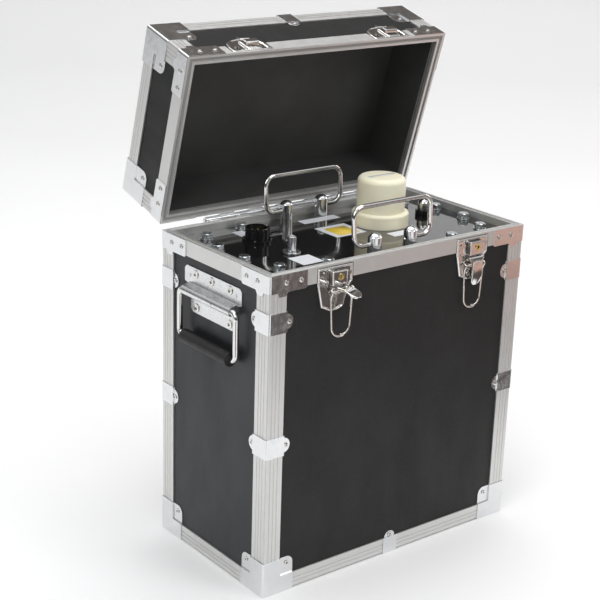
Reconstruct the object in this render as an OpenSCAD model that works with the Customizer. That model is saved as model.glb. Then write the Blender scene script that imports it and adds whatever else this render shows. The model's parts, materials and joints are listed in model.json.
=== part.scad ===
// Portable high-voltage test unit in an aluminium-edged flight case.
// Millimetres. X runs to the right along the front, Y to the back, Z up.
// The origin is on the floor under the middle of the case.

/* [Case] */
// width of the case over its corner plates
case_w = 398; // [380:1:420]
// depth of the case over its corner plates
case_d = 220; // [214:1:232]
// height of the case up to the lid seam
case_h = 400; // [396:1:430]
// height of the closed lid above the seam
lid_h = 89; // [84:1:110]
// angle through which the lid stands open, in degrees
lid_open = 74.08; // [0:0.01:74.08]

/* [Edging] */
// width of the ribbed edge profile on each face
edge_w = 24; // [20:1:28]
// height of the bottom edge profile on the walls
base_w = 20; // [18:1:24]
// height of the mouth profile on the walls
rim_w = 19; // [17:1:22]
// length of a corner cap along each edge
cap_len = 44; // [38:1:50]
// length of a mouth bracket along each edge
bracket_len = 52; // [46:1:58]
// height of the upper edge clips above the floor
clip_high = 343; // [330:1:350]
// height of the lower edge clips above the floor
clip_low = 191.5; // [150:0.5:230]

/* [Cover plate] */
// depth of the cover plate below the lid seam
cover_drop = 9; // [7:0.5:14]
// half the distance between the posts of a folding handle
post_x = 28.1; // [24:0.1:34]
// distance of the folding handles from the middle line
handle_y = 85.8; // [84:0.1:87]
// half width of a folding handle between the middles of its legs
handle_half = 59.7; // [50:0.1:66]
// height of a folding handle above its pivot
handle_rise = 46.6; // [40:0.1:50]
// angle by which the folding handles lean to the back, in degrees
handle_lean = 3.5; // [0:0.1:5]
// radius of the lower ring of the output bushing
bushing_r = 36; // [32:0.5:38]
// radius of the bushing cap
cap_r = 30.5; // [27:0.5:32]
// height of the top of the bushing cap above the cover plate
cap_top = 62; // [56:0.5:70]

/* [Latches] */
// middle of the left latch along X
latch_l = -105.5; // [-112:0.5:-98]
// middle of the right latch along X
latch_r = 110; // [98:0.5:112]
// angle by which the left lever is lifted, in degrees
lever_lift = 88; // [0:1:88]
// length of a latch lever below its pivot
lever_len = 35; // [30:0.5:36]

/* [Side handles] */
// angle by which a side handle stands off when it hangs, in degrees
side_stand = 0; // [0:0.1:10]
// distance between the pivot and the grip of a side handle
side_drop = 58; // [52:0.1:64]

/* [Hidden] */
$fn = 64;
plate_t = 1;                 // pressed plates
leg_t = 2;                   // wall of the profiles
wall = 11;                   // whole wall with profile flanges
hw = case_w / 2 - plate_t;   // profile faces
hd = case_d / 2 - plate_t;
rim_z = case_h - 0.2;
lid_rim = lid_h - 0.2;
pin_y = hd + 6.5;
pin_z = case_h;
hinge_half = 132;
knuckles = 12;
cover_z = case_h - cover_drop;
post_z = cover_z + 14;
bolts = [[158, 72.5], [173.2, 26.4], [96.8, 85.4]];
bush_x = 67.5; bush_y = 15.2;
conn_x = -110; conn_y = 35.2;
gnd_x = -105.7; gnd_y = -27.2;
fill_x = 142.8; fill_y = 17;
lev_y = -(hd + 5);           // lever pivot
lev_z = case_h - 28.7;
bar_d = 8;                   // bar below the lever pivot
grip_x = hw + 8;             // side handle pivot
grip_z = case_h - 57.2;
silver = [0.79, 0.8, 0.81];
zinc = [0.72, 0.73, 0.74];
black = [0.06, 0.06, 0.065];

// ---- placing ----
module at_corners() for (i = [0, 1], j = [0, 1]) mirror([i, 0, 0]) mirror([0, j, 0]) children();
module both_y() for (j = [0, 1]) mirror([0, j, 0]) children();
module both_x() for (i = [0, 1]) mirror([i, 0, 0]) children();
// local x along the face from its left corner, local y up, local z outward
module on_front() translate([-hw, -hd, 0]) rotate([90, 0, 0]) children();
module on_left() translate([-hw, -hd, 0]) mirror([1, 0, 0]) rotate([90, 0, 90]) children();
// section drawn in (inward, up), swept along an edge
module along_x(len) translate([-len / 2, -hd, 0]) rotate([90, 0, 90]) linear_extrude(len) children();
module along_y(len) translate([-hw, len / 2, 0]) rotate([90, 0, 0]) linear_extrude(len) children();
// the lid is drawn upside down with its top at zero, then set on the seam and swung open
module lid_swing() translate([0, pin_y, pin_z]) rotate([-lid_open, 0, 0]) translate([0, -pin_y, -pin_z]) children();
module lid_place() lid_swing() translate([0, 0, case_h + lid_h]) mirror([0, 0, 1]) children();
module at_latches() for (x = [latch_l, latch_r]) translate([x, 0, 0]) children();

// ---- profiles ----
module flutes(first, last) for (a = [first : 5.2 : last]) translate([a, -1]) square([1.3, 1.5]);
module edge_2d(lx, ly) {
  difference() {
    union() { square([lx, leg_t]); square([leg_t, ly]); }
    difference() { translate([-1, -1]) square(2.8); translate([1.8, 1.8]) circle(1.8); }
    flutes(6, lx - 4);
    mirror([1, -1, 0]) flutes(6, ly - 4);
  }
}
module web_2d() {
  difference() { translate([leg_t, leg_t]) square(wall - leg_t); translate([3.6, 3.6]) square(5.9); }
  translate([wall, 9]) square([11, 1.5]);
  translate([9, wall]) square([1.5, 11]);
}
module rim_2d(tongue) {
  difference() {
    union() {
      translate([0, -rim_w]) square([leg_t, rim_w]);
      translate([0, -3.6]) square([10.5, 3.6]);
      translate([9, tongue ? -15 : -5]) square([1.5, tongue ? 15 : 5]);
      translate([leg_t, -10]) square([7, 1.5]);
      if (tongue) translate([4, 0]) square([2, 1.4]);
    }
    if (!tongue) translate([2.9, -2]) square([4.2, 3]);
  }
}
module edges(h, inner) {
  at_corners() translate([-hw, -hd, 0]) {
    translate([0, 0, 1]) linear_extrude(h - rim_w - 1) edge_2d(edge_w, edge_w);
    if (inner) translate([0, 0, 12]) linear_extrude(h - rim_w - 12) web_2d();
  }
  both_y() translate([0, 0, 1]) along_x(2 * (hw - edge_w) - 0.1) { edge_2d(edge_w, base_w); if (inner) web_2d(); }
  both_x() translate([0, 0, 1]) along_y(2 * (hd - edge_w) - 0.1) { edge_2d(edge_w, base_w); if (inner) web_2d(); }
}
module rim(h, tongue) {
  both_y() intersection() {
    translate([0, 0, h]) along_x(2 * hw) rim_2d(tongue);
    translate([0, 0, h - 25]) linear_extrude(30) polygon([[0.05 - hw, -hd], [hw - 0.05, -hd], [hw - 20.05, 20 - hd], [20.05 - hw, 20 - hd]]);
  }
  both_x() intersection() {
    translate([0, 0, h]) along_y(2 * hd) rim_2d(tongue);
    translate([0, 0, h - 25]) linear_extrude(30) polygon([[-hw, 0.05 - hd], [-hw, hd - 0.05], [20 - hw, hd - 20.05], [20 - hw, 20.05 - hd]]);
  }
}

// ---- panels ----
module panel_fb(h) both_y() translate([wall - hw, leg_t - hd, 12]) cube([2 * (hw - wall), 7, h - 22]);
module panel_lr(h) both_x() translate([leg_t - hw, wall - hd, 12]) cube([7, 2 * (hd - wall), h - 22]);
module panel_flat() translate([wall - hw, wall - hd, 3]) cube([2 * (hw - wall), 2 * (hd - wall), 7]);

// ---- pressed plates ----
// a sheet that lies on the profile up to (pw, pb) and steps down to the panel beyond it
module pressed(pw, pb) {
  big = 90;
  linear_extrude(plate_t) intersection() {
    children();
    union() { translate([-big, -big]) square([big + pw + 1.2, 2 * big]); translate([-big, -big]) square([2 * big, big + pb + 1.2]); }
  }
  translate([0, 0, -leg_t]) linear_extrude(leg_t + plate_t) intersection() {
    children();
    difference() { translate([pw, pb]) square(big); translate([pw + 1.2, pb + 1.2]) square(big); }
  }
  translate([0, 0, -leg_t]) linear_extrude(1.3) intersection() { children(); translate([pw, pb]) square(big); }
}
module cap_2d() {
  translate([-1, 0]) square([cap_len - 8.5, 45]);
  translate([-1, 0]) square([cap_len + 1, 35.5]);
  translate([cap_len - 9.5, 35.5]) circle(9.5);
}
module caps() at_corners() intersection() {
  union() {
    on_front() pressed(edge_w, base_w + 1) cap_2d();
    on_left() pressed(edge_w, base_w + 1) cap_2d();
    translate([-hw - 1, -hd - 1, 0]) linear_extrude(1) difference() { square(cap_len + 1); translate([cap_len + 1, cap_len + 1]) circle(14); }
  }
  translate([-hw - 1, -hd - 1, 0]) {
    difference() {
      cube([80, 80, 80]);
      difference() { translate([-1, -1, -1]) cube([3.8, 3.8, 90]); translate([2.8, 2.8, -2]) cylinder(r = 2.8, h = 92); }
    }
  }
}
module bracket_2d() {
  difference() { translate([-1, -21]) square([bracket_len + 1, 21]); translate([bracket_len - 3, -22]) rotate(-45) square([8, 8]); }
  polygon([[10, -20], [12.5, -26], [22, -26], [26, -20]]);
}
module brackets(h) at_corners() intersection() {
  translate([0, 0, h]) union() {
    on_front() linear_extrude(plate_t) bracket_2d();
    on_left() linear_extrude(plate_t) bracket_2d();
  }
  translate([-hw - 1, -hd - 1, h - 60]) difference() {
    cube([80, 80, 80]);
    difference() { translate([-1, -1, -1]) cube([3.8, 3.8, 90]); translate([2.8, 2.8, -2]) cylinder(r = 2.8, h = 92); }
  }
}
module clip_2d() { translate([-1, -12.5]) square([edge_w + 3, 25]); translate([edge_w + 1, 0]) circle(9.5); }
module edge_clip() intersection() {
  union() { on_front() pressed(edge_w, -60) clip_2d(); on_left() pressed(edge_w, -60) clip_2d(); }
  translate([-hw - 1, -hd - 1, -40]) difference() {
    cube([80, 80, 80]);
    difference() { translate([-1, -1, -1]) cube([3.8, 3.8, 90]); translate([2.8, 2.8, -2]) cylinder(r = 2.8, h = 92); }
  }
}
module base_clip() translate([hw, 0, 0]) {
  on_front() { translate([-11, 0, 0]) cube([22, base_w + 2.2, plate_t]); translate([-11, base_w + 1, -leg_t]) cube([22, 1.2, leg_t + plate_t]);
    translate([0, 0, -leg_t]) linear_extrude(1.3) intersection() { translate([0, base_w + 1]) circle(8.6); translate([-11, base_w + 1]) square([22, 20]); } }
  translate([-11 - hw, -hd - 1, 0]) cube([22, 25, 1]);
}

// ---- screws ----
module screw(r) { difference() { intersection() { cylinder(r = r, h = 1.4); translate([0, 0, 1.4 - 2 * r * r / 1.4]) sphere(r = 2 * r * r / 1.4); }
    translate([0, 0, 0.5]) cylinder(r1 = r * 0.2, r2 = r * 0.68, h = 1.2);
    for (a = [0, 90]) rotate(a) translate([-r * 0.55, -0.35, 0.4]) cube([r * 1.1, 0.7, 2]); }
  translate([0, 0, -4.6]) cylinder(r = 1.5, h = 4.7); }
module shank() translate([0, 0, -4.6]) cylinder(r = 1.5, h = 8);
module face_screws(h, low) {
  translate([cap_len - 9.5, 37, -0.7]) children();
  for (u = [22, 43]) translate([u, h - 10, plate_t]) children();
  if (low) for (w = [clip_low, clip_high]) translate([edge_w + 4.5, w, -0.7]) children();
}
module box_screws(h, low) {
  at_corners() { on_front() face_screws(h, low) children(); on_left() face_screws(h, low) children(); }
  both_y() translate([hw, 0, 0]) on_front() translate([0, base_w + 5.5, -0.7]) children();
}
module hinge_screws(z) for (x = [-121, -77, -33, 11, 55, 99]) translate([x + 11, hd + 1.5, z]) rotate([-90, 0, 0]) children();
module rivet(r) { cylinder(r = r, h = 1.2); translate([0, 0, -4]) cylinder(r = 1.5, h = 4.1); }
latch_rivets = [[-15.5, 388, 3.4], [19.8, 386, 2.8], [-17, 377, 1.6], [0.5, 357, 3], [-2.4, 349, 2.1]];
module on_side_plate() translate([-hw + 0.5, 0, 0]) rotate([90, 0, -90]) children();
side_screws = [[-37, 363], [-4, 363], [33, 363], [-34.5, 322], [33, 322]];
module fix_case_all(hole) {
  box_screws(rim_z, true) if (hole) shank(); else screw(2.9);
  hinge_screws(pin_z - 11) if (hole) shank(); else screw(2.3);
  at_latches() for (p = latch_rivets) translate([p[0], 0.5 - hd, p[1]]) rotate([90, 0, 0]) if (hole) shank(); else rivet(p[2]);
  both_x() for (p = side_screws) on_side_plate() translate([p[0], p[1], 0]) if (hole) shank(); else screw(5);
}
module conn_screws(hole) for (a = [45 : 90 : 315]) translate([conn_x, conn_y, cover_z + 3]) rotate(a) translate([16.8, 0, 0])
  if (hole) translate([0, 0, -4]) cylinder(r = 0.8, h = 8); else { cylinder(r = 1.4, h = 0.9); translate([0, 0, -4]) cylinder(r = 0.8, h = 4.1); }

// ---- case ----
module case_front_back_panels() color(black) difference() { panel_fb(rim_z); fix_case_all(true); }
module case_side_panels() color(black) difference() { panel_lr(rim_z); fix_case_all(true); }
module case_bottom_panel() color(black) panel_flat();
module case_edge_profiles() color(silver) difference() { edges(rim_z, true); fix_case_all(true); }
module case_rim_profiles() color(silver) difference() {
  rim(rim_z, true);
  at_latches() translate([-26.5, -hd - 1, rim_z - 25]) cube([53, leg_t + 1, 23]);
  fix_case_all(true);
}
module case_corner_caps() color(zinc) difference() { caps(); fix_case_all(true); }
module case_rim_brackets() color(zinc) difference() { brackets(rim_z); fix_case_all(true); }
module case_edge_clips() color(zinc) difference() {
  union() { at_corners() for (w = [clip_low, clip_high]) translate([0, 0, w]) edge_clip(); both_y() base_clip(); }
  fix_case_all(true);
}
module case_screws() color(zinc) { fix_case_all(false); conn_screws(false); }

// ---- hinge ----
kn = 2 * hinge_half / knuckles;
module knuckle_row(first, up) for (i = [first : 2 : knuckles - 1]) translate([-hinge_half + i * kn + 0.2, 0, 0]) {
  translate([0, pin_y, pin_z]) rotate([0, 90, 0]) cylinder(r = 4, h = kn - 0.4);
  translate([0, hd, up ? pin_z : pin_z - 4]) cube([kn - 0.4, 6.5, 4]);
}
module pin_bore(r) translate([-hinge_half - 5, pin_y, pin_z]) rotate([0, 90, 0]) cylinder(r = r, h = 2 * hinge_half + 10);
module hinge_case_leaf() color(zinc) difference() {
  union() { translate([-hinge_half, hd, pin_z - 18.5]) cube([2 * hinge_half, 1.5, 16.5]); knuckle_row(0, false); }
  pin_bore(2);
  hinge_screws(pin_z - 11) shank();
}
module hinge_pin() color(zinc) translate([-hinge_half - 1.5, pin_y, pin_z]) rotate([0, 90, 0]) cylinder(r = 2, h = 2 * hinge_half + 3);
module hinge_lid_leaf() color(zinc) lid_swing() difference() {
  union() { translate([-hinge_half, hd, pin_z + 2]) cube([2 * hinge_half, 1.5, 16.5]); knuckle_row(1, true); }
  pin_bore(2.05);
  hinge_screws(pin_z + 11) shank();
}

// ---- latches ----
module latch_plates() color(zinc) at_latches() difference() {
  union() {
    translate([0, leg_t - hd, 0]) rotate([90, 0, 0]) linear_extrude(1.5)
      polygon([[-26, 397.3], [26, 397.3], [26, 375.5], [19.5, 367], [16, 355], [12.5, 346], [3, 343.5], [-7, 343.5], [-20, 350], [-25.5, 375.5]]);
    // rolled stiffening edge down the left side
    translate([-26, 0.5 - hd - 1.6, 377]) cube([3.2, 1.7, 20]);
    for (v = [-8.8, 13.3]) translate([v, lev_y, lev_z]) rotate([0, 90, 0]) { cylinder(r = 2.4, h = 1.5); translate([-2.4, 0, 0]) cube([4.8, 5.6, 1.5]); }
  }
  translate([-20, lev_y, lev_z]) rotate([0, 90, 0]) cylinder(r = 1.2, h = 50);
  for (p = latch_rivets) translate([p[0], 0.5 - hd, p[1]]) rotate([90, 0, 0]) shank();
}
module latch_pivot_pins() color(zinc) at_latches() translate([-9.4, lev_y, lev_z]) rotate([0, 90, 0]) cylinder(r = 1.2, h = 24.8);
module latch_lock_housings() color(zinc) at_latches() difference() {
  translate([0, 0.5 - hd, 0]) rotate([90, 0, 0]) {
    translate([-8, 375.2, 0]) cube([22, 17.3, 5.6]);
    translate([-7.1, 376.1, 5.5]) cube([20.2, 15.5, 1]);
  }
  translate([4, 0, 385]) rotate([90, 0, 0]) cylinder(r = 3.95, h = 200);
  translate([3.4, -hd - 7, 377.4]) cube([1.2, 3, 2.6]);
}
module lock_barrel(x) color([0.75, 0.6, 0.3]) translate([x + 4, 0, 385]) difference() {
  translate([0, -hd, 0]) rotate([90, 0, 0]) cylinder(r = 3.9, h = 6.8);
  translate([0, -hd - 6.1, 0]) rotate([90, 0, 0]) cylinder(r = 2.6, h = 2);
  translate([-0.6, -hd - 8, -2.2]) cube([1.2, 4.4, 4.4]);
}
module left_lock_barrel() lock_barrel(latch_l);
module right_lock_barrel() lock_barrel(latch_r);
// lever, bar and wire loop are drawn hanging from the lever pivot
module lever() color(zinc) difference() {
  union() {
    translate([-7.1, 0, 0]) rotate([0, 90, 0]) cylinder(r = 2.4, h = 20.2);
    intersection() {
      translate([-5, 0, 0]) rotate([90, 0, 90]) linear_extrude(17) translate([-2.4, 0]) rotate(3.2) translate([49.5, -lever_len / 2]) difference() { circle(52.5, $fn = 128); circle(51, $fn = 128); }
      translate([3.5, 0, 0]) rotate([90, 0, 0]) linear_extrude(12) { translate([-8.5, 8.5 - lever_len]) square([17, lever_len - 8.5]); translate([0, 8.5 - lever_len]) circle(8.5); }
    }
    for (v = [-7.1, 11.6]) translate([v, 0, 0]) rotate([90, 0, 90]) linear_extrude(1.5) { translate([-2.4, -bar_d]) square([4.8, bar_d]); translate([0, -bar_d]) circle(2.4); }
  }
  translate([-20, 0, 0]) rotate([0, 90, 0]) cylinder(r = 1.25, h = 50);
  translate([-20, 0, -bar_d]) rotate([0, 90, 0]) cylinder(r = 1.55, h = 50);
}
module cross_bar() color(zinc) translate([-17.4, 0, 0]) rotate([0, 90, 0]) cylinder(r = 1.5, h = 34);
module loop() color(zinc) translate([-0.4, 0, 0]) {
  both_x() {
    difference() {
      union() {
        translate([14.5, 0, 0]) rotate([0, 90, 0]) cylinder(r = 2.9, h = 2.2);
        translate([15.6, 0, -2]) rotate([0, atan(2.2 / 39), 0]) translate([0, 0, -39]) cylinder(r = 1.2, h = 39);
        translate([13.4, 0, -41]) sphere(r = 1.2);
      }
      translate([0, 0, 0]) rotate([0, 90, 0]) cylinder(r = 1.55, h = 30);
    }
  }
  translate([0, 0, -41]) rotate([90, 0, 0]) rotate([0, 0, 180]) rotate_extrude(angle = 180, $fn = 96) translate([13.4, 0]) circle(1.2);
}
module at_lever(x, lift) translate([x, lev_y, lev_z]) rotate([-lift, 0, 0]) children();
module at_bar(x, lift) translate([x, lev_y - bar_d * sin(lift), lev_z - bar_d * cos(lift)]) children();
module left_latch_lever() at_lever(latch_l, lever_lift) lever();
module right_latch_lever() at_lever(latch_r, 0) lever();
module left_latch_bar() at_bar(latch_l, lever_lift) cross_bar();
module right_latch_bar() at_bar(latch_r, 0) cross_bar();
module left_latch_bail() at_bar(latch_l, lever_lift) loop();
module right_latch_bail() at_bar(latch_r, 0) loop();

// ---- side handles ----
module side_plate() difference() {
  union() {
    translate([leg_t - hw, 0, 0]) rotate([90, 0, -90]) linear_extrude(1.5)
      polygon([[-60, 350], [-60, 366], [-56, 370], [52, 370], [56, 366], [56, 350], [46, 347], [46, 319], [42, 315], [-42, 315], [-47, 319], [-47, 347]]);
    translate([-grip_x, 50, grip_z]) rotate([90, 0, 0]) cylinder(r = 5.5, h = 99);
    // the plate folds out over the rod and rolls round it
    translate([0, 50, 0]) rotate([90, 0, 0]) linear_extrude(99) difference() {
      polygon([[leg_t - hw, 350.6], [0.3 - hw, 350.6], [-grip_x - 1.36, grip_z + 5.33], [-grip_x, grip_z], [-grip_x, grip_z - 5.5], [leg_t - hw, grip_z - 5.5]]);
      translate([-grip_x, grip_z]) circle(r = 3.65);
    }
    for (y = [-45, 49]) translate([0.6 - hw, y, 359]) rotate([0, -90, 0]) cylinder(r = 1.8, h = 1);
  }
  translate([-grip_x, 60, grip_z]) rotate([90, 0, 0]) cylinder(r = 3.65, h = 120);
  // rivet hole through the front of the rolled barrel
  translate([-grip_x - 7, -15, grip_z + 1]) rotate([0, 90, 0]) cylinder(r = 1.6, h = 5);
  for (p = side_screws) on_side_plate() translate([p[0], p[1], 0]) shank();
}
module side_handle_plates() color(zinc) both_x() side_plate();
module rod_loop(half, drop, r, c) {
  for (s = [0, 1]) mirror([0, s, 0]) {
    for (z = [0, -drop]) translate([0, 0, z]) rotate([-90, 0, 0]) cylinder(r = r, h = half - c);
    translate([0, half, c - drop]) cylinder(r = r, h = drop - 2 * c);
    translate([0, half - c, -c]) rotate([90, 0, 90]) rotate_extrude(angle = 90, $fn = 96) translate([c, 0]) circle(r);
    translate([0, half - c, c - drop]) rotate([90, 0, 90]) rotate([0, 0, -90]) rotate_extrude(angle = 90, $fn = 96) translate([c, 0]) circle(r);
  }
}
module at_side() translate([-grip_x, 0, grip_z]) rotate([0, side_stand, 0]) children();
module side_bail() color(zinc) at_side() rod_loop(57.6, side_drop, 3.6, 8);
module side_grip() color(black) at_side() translate([0, 48, -side_drop]) rotate([90, 0, 0]) difference() { cylinder(r = 8.5, h = 96); translate([0, 0, -1]) cylinder(r = 3.6, h = 98); }
module left_handle_bail() side_bail();
module left_handle_grip() side_grip();
module right_handle_bail() mirror([1, 0, 0]) side_bail();
module right_handle_grip() mirror([1, 0, 0]) side_grip();

// ---- oil tank ----
module cover_holes(r_bolt) {
  at_corners() for (b = bolts) translate([b[0], b[1], cover_z - 40]) cylinder(r = r_bolt, h = 60);
  for (x = [-post_x, post_x], y = [-handle_y, handle_y]) translate([x, y, cover_z - 40]) cylinder(r = 4, h = 60);
}
module flange(z, t) translate([0, 0, z]) difference() {
  translate([-hw + wall, -hd + wall, 0]) cube([2 * (hw - wall), 2 * (hd - wall), t]);
  translate([-148, -62, -1]) cube([296, 124, t + 2]);
  translate([fill_x, fill_y, -1]) cylinder(r = 8.3, h = t + 2);
}
module oil_tank() color([0.45, 0.47, 0.49]) difference() {
  union() {
    difference() { translate([-182, -93, 16]) cube([364, 186, cover_z - 26]); translate([-179, -90, 19]) cube([358, 180, cover_z]); }
    flange(cover_z - 10, 4);
    for (y = [-70, 50]) translate([-150, y, 10]) cube([300, 20, 6.1]);
  }
  cover_holes(4);
}
module tank_gasket() color(black) difference() { flange(cover_z - 6, 2); cover_holes(4); }
module cover_plate() color(black) difference() {
  translate([-hw + wall, -hd + wall, cover_z - 4]) cube([2 * (hw - wall), 2 * (hd - wall), 4]);
  cover_holes(4);
  translate([bush_x, bush_y, cover_z - 10]) cylinder(r = 20, h = 20);
  translate([conn_x, conn_y, cover_z - 10]) cylinder(r = 14.5, h = 20);
  translate([gnd_x, gnd_y, cover_z - 10]) cylinder(r = 3, h = 20);
  translate([fill_x, fill_y, cover_z - 10]) cylinder(r = 8, h = 20);
  conn_screws(true);
}
module cover_bolts() color(zinc) at_corners() for (b = bolts) translate([b[0], b[1], cover_z]) {
  difference() { cylinder(r = 8, h = 1.4); translate([0, 0, -1]) cylinder(r = 4.1, h = 4); }
  difference() { translate([0, 0, 1.42]) cylinder(r = 6.4, h = 1.76); translate([0, 0, -1]) cylinder(r = 4.1, h = 8); translate([3, -0.4, 1]) cube([4, 0.8, 4]); }
  intersection() { translate([0, 0, 3.2]) cylinder(r = 7.35, h = 4.9, $fn = 6); translate([0, 0, 1]) sphere(r = 9.3); }
  translate([0, 0, -12]) cylinder(r = 4, h = 15.3);
}
module post() difference() {
  union() {
    cylinder(r = 8.5, h = 22.4);
    intersection() { translate([0, 0, 17.675]) sphere(r = 9.725); translate([0, 0, 22.3]) cylinder(r = 9, h = 8); }
    translate([0, 0, -12]) cylinder(r = 4, h = 12.1);
  }
  translate([-20, 0, 14]) rotate([0, 90, 0]) cylinder(r = 3.05, h = 40);
}
module handle_posts() color(silver) for (x = [-post_x, post_x], y = [-handle_y, handle_y]) translate([x, y, cover_z]) post();
module bent_handle() color(silver) {
  c = 13;
  both_x() {
    translate([21, 0, 0]) rotate([0, 90, 0]) cylinder(r = 3, h = handle_half - c - 21);
    translate([handle_half - c, 0, c]) rotate([90, 0, 0]) rotate([0, 0, -90]) rotate_extrude(angle = 90, $fn = 96) translate([c, 0]) circle(3);
    translate([handle_half, 0, c]) cylinder(r = 3, h = handle_rise - 2 * c);
    translate([handle_half - c, 0, handle_rise - c]) rotate([90, 0, 0]) rotate_extrude(angle = 90, $fn = 96) translate([c, 0]) circle(3);
  }
  translate([c - handle_half, 0, handle_rise]) rotate([0, 90, 0]) cylinder(r = 3, h = 2 * (handle_half - c));
}
module front_panel_handle() translate([0, -handle_y, post_z]) rotate([-handle_lean, 0, 0]) bent_handle();
module back_panel_handle() translate([0, handle_y, post_z]) rotate([-handle_lean, 0, 0]) bent_handle();

// ---- output ----
module puck(r, h, e) { cylinder(r = r, h = h - e, $fn = 96); translate([0, 0, h - e - 0.01]) cylinder(r = r - e, h = e + 0.01, $fn = 96); translate([0, 0, h - e]) rotate_extrude($fn = 96) translate([r - e, 0]) circle(e); }
module output_bushing() color([0.9, 0.86, 0.72]) translate([bush_x, bush_y, cover_z]) difference() {
  union() { puck(bushing_r, 18, 4); translate([0, 0, 17]) cylinder(r = 24, h = 16); translate([0, 0, -60]) cylinder(r = 20, h = 61); }
  translate([0, 0, -70]) cylinder(r = 6, h = 120);
}
module output_contact() color([0.78, 0.62, 0.32]) translate([bush_x, bush_y, cover_z]) difference() {
  union() { translate([0, 0, -60]) cylinder(r = 6, h = 105); }
  translate([0, 0, 30]) cylinder(r = 2, h = 20);
  translate([0, 0, -61]) cylinder(r = 2.5, h = 9);
}
module output_cap() color([0.91, 0.87, 0.74]) translate([bush_x, bush_y, cover_z]) difference() {
  translate([0, 0, 18.2]) puck(cap_r, cap_top - 18.2, 7);
  translate([0, 0, 10]) cylinder(r = 24.4, h = 23.6);
  translate([0, 0, 10]) cylinder(r = 7, h = 36);
}

// ---- control connector, earth terminal, filler ----
module connector_shell() color(black) translate([conn_x, conn_y, cover_z]) difference() {
  union() { cylinder(r = 18.5, h = 3); cylinder(r = 14.6, h = 6); translate([0, 0, 5]) cylinder(r = 15, h = 12); translate([0, 0, -8]) cylinder(r = 14.5, h = 9); }
  translate([0, 0, -10]) cylinder(r = 13, h = 30);
  for (a = [45 : 90 : 315]) rotate(a) translate([16.8, 0, -1]) cylinder(r = 0.8, h = 8);
}
module pin_places() { for (a = [0 : 51.4285714 : 350]) rotate(a) translate([8.8, 0, 0]) children(); for (a = [30, 150, 270]) rotate(a) translate([3.6, 0, 0]) children(); }
module connector_insert() color(black) translate([conn_x, conn_y, cover_z]) difference() {
  translate([0, 0, -7]) cylinder(r = 13, h = 19);
  translate([0, 0, -8]) pin_places() cylinder(r = 1.2, h = 24);
}
module connector_pins() color([0.85, 0.68, 0.3]) translate([conn_x, conn_y, cover_z - 10]) pin_places() difference() { cylinder(r = 1.2, h = 22.2); translate([0, 0, 14]) cylinder(r = 0.6, h = 10); }
module ground_stud() color([0.78, 0.62, 0.32]) translate([gnd_x, gnd_y, cover_z - 14]) cylinder(r = 3, h = 33);
module ground_washers() color(zinc) translate([gnd_x, gnd_y, cover_z]) difference() {
  union() { cylinder(r = 10, h = 1); translate([0, 0, 1.02]) cylinder(r = 11, h = 1.5); }
  translate([0, 0, -1]) cylinder(r = 3, h = 5);
}
module ground_nut() color(zinc) translate([gnd_x, gnd_y, cover_z + 2.8]) difference() {
  union() { cylinder(r = 5.25, h = 17.4); cylinder(r = 4.4, h = 18.2); }
  translate([0, 0, -1]) cylinder(r = 3.05, h = 20);
  translate([0, 0, 16.6]) cylinder(r = 3.6, h = 4);
}
module filler_collar() color(black) translate([fill_x, fill_y, cover_z]) difference() {
  union() { cylinder(r = 10, h = 7); translate([0, 0, -8]) cylinder(r = 8, h = 9); }
  translate([0, 0, -10]) cylinder(r = 5.05, h = 20);
}
module filler_plug() color(silver) translate([fill_x, fill_y, cover_z]) {
  translate([0, 0, 7.3]) cylinder(r = 7.5, h = 6.2);
  intersection() { translate([0, 0, 13.5]) sphere(r = 7.5); translate([0, 0, 13.4]) cylinder(r = 8, h = 9); }
  translate([0, 0, -6]) cylinder(r = 5, h = 13.4);
}
module card(x0, y0, x1, y1) translate([x0, y0, cover_z]) cube([x1 - x0, y1 - y0, 0.4]);
module panel_labels() color([0.93, 0.93, 0.92]) { card(-17, 61, 41, 76); card(-20, -7, 27, 38); card(-123, -73, -93, -43); card(43, -42, 74, -26); card(-117, 58, -101, 79); }

// ---- inside the tank ----
module transformer_core() color([0.3, 0.3, 0.32]) difference() { translate([-70, -30, 19]) cube([140, 60, 160]); translate([-35, -31, 54]) cube([70, 62, 90]); }
module coil(x, r) translate([x, 0, 57]) difference() { cylinder(r = r, h = 84); translate([-18, -30.5, -1]) cube([36, 61, 86]); }
module low_voltage_winding() color([0.7, 0.42, 0.2]) coil(-52.5, 42);
module high_voltage_winding() color([0.85, 0.8, 0.62]) coil(52.5, 48);
module high_voltage_lead() color([0.6, 0.2, 0.15]) {
  translate([94, bush_y, 141]) cylinder(r = 2.4, h = 150);
  translate([94, bush_y, 291]) sphere(r = 2.4);
  translate([bush_x, bush_y, 291]) rotate([0, 90, 0]) cylinder(r = 2.4, h = 94 - bush_x);
  translate([bush_x, bush_y, 291]) sphere(r = 2.4);
  translate([bush_x, bush_y, 291]) cylinder(r = 2.4, h = cover_z - 53 - 291);
}

// ---- lid ----
module lid_holes() box_screws(lid_rim, false) shank();
module lid_top_panel() color(black) lid_place() translate([leg_t - hw, leg_t - hd, 3]) cube([2 * (hw - leg_t), 2 * (hd - leg_t), 7]);
module lid_walls() {
  both_y() translate([leg_t - hw, leg_t - hd, 10]) cube([2 * (hw - leg_t), 7, lid_rim - 20]);
  both_x() translate([leg_t - hw, leg_t + 7 - hd, 10]) cube([7, 2 * (hd - leg_t - 7), lid_rim - 20]);
}
module lid_wall_panels() color(black) difference() { lid_place() difference() { lid_walls(); lid_holes(); } lid_swing() keeper_holes(); lid_swing() hinge_screws(pin_z + 11) shank(); }
module lid_edge_profiles() color(silver) lid_place() difference() { edges(lid_rim, false); lid_holes(); }
module lid_rim_profiles() color(silver) difference() {
  lid_place() difference() { rim(lid_rim, false); lid_holes(); at_latches() translate([-29.5, -hd - 1, lid_rim - 25]) cube([59, leg_t + 1, 23]); }
  lid_swing() hinge_screws(pin_z + 11) shank();
}
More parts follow.
